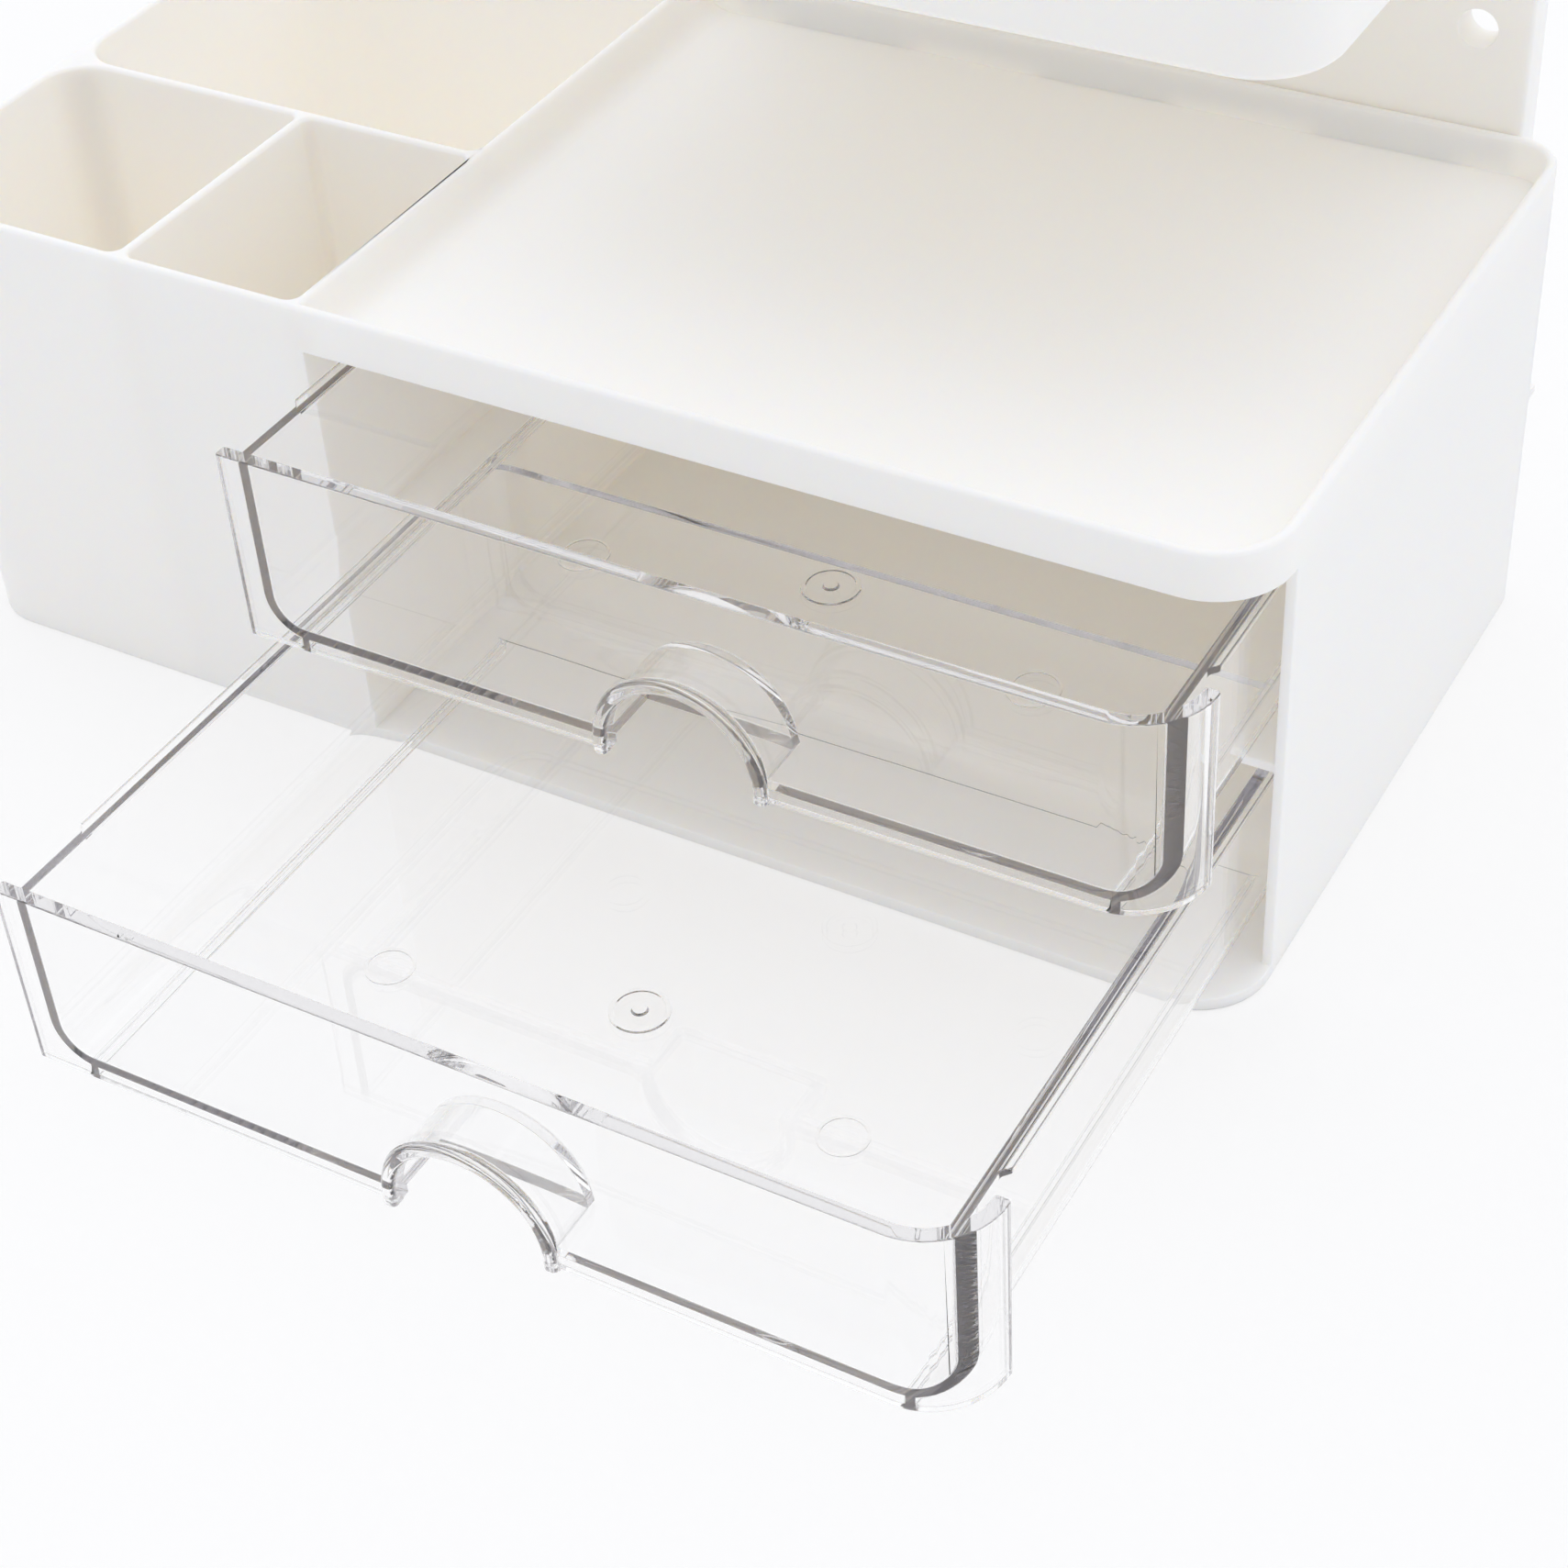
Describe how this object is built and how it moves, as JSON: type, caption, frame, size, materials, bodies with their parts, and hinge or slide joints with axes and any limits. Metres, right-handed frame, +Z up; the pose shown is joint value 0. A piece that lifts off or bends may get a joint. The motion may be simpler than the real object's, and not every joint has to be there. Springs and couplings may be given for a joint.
{
  "type": "desktop pen holder with drawers",
  "caption": "White desk organizer: open pen compartments at the left, a shallow tray over clear drawers at the right, and a raised shelf tray on an upright back panel.",
  "frame": {"origin": "centre of the case's flat underside, on the desk", "axes": "+X to the right along the front, +Y to the back, +Z up; the drawers open towards -Y"},
  "size_m": [0.3042, 0.2719, 0.226],
  "materials": {
    "white_plastic": "satin warm white, moulded polypropylene",
    "clear_plastic": "polished, clear moulded polystyrene"
  },
  "bodies": {
    "case": {"case_body": "white_plastic", "back_panel": "white_plastic", "shelf_tray": "white_plastic"},
    "upper_drawer_body": {"upper_drawer": "clear_plastic"},
    "lower_drawer_body": {"lower_drawer": "clear_plastic"}
  },
  "joints": [
    {"name": "upper_drawer_slide", "type": "slide", "parent": "case", "child": "upper_drawer_body", "axis": [0, -1, 0], "range_m": [-0.03, 0.09]},
    {"name": "lower_drawer_slide", "type": "slide", "parent": "case", "child": "lower_drawer_body", "axis": [0, -1, 0], "range_m": [-0.108, 0.012]}
  ]
}
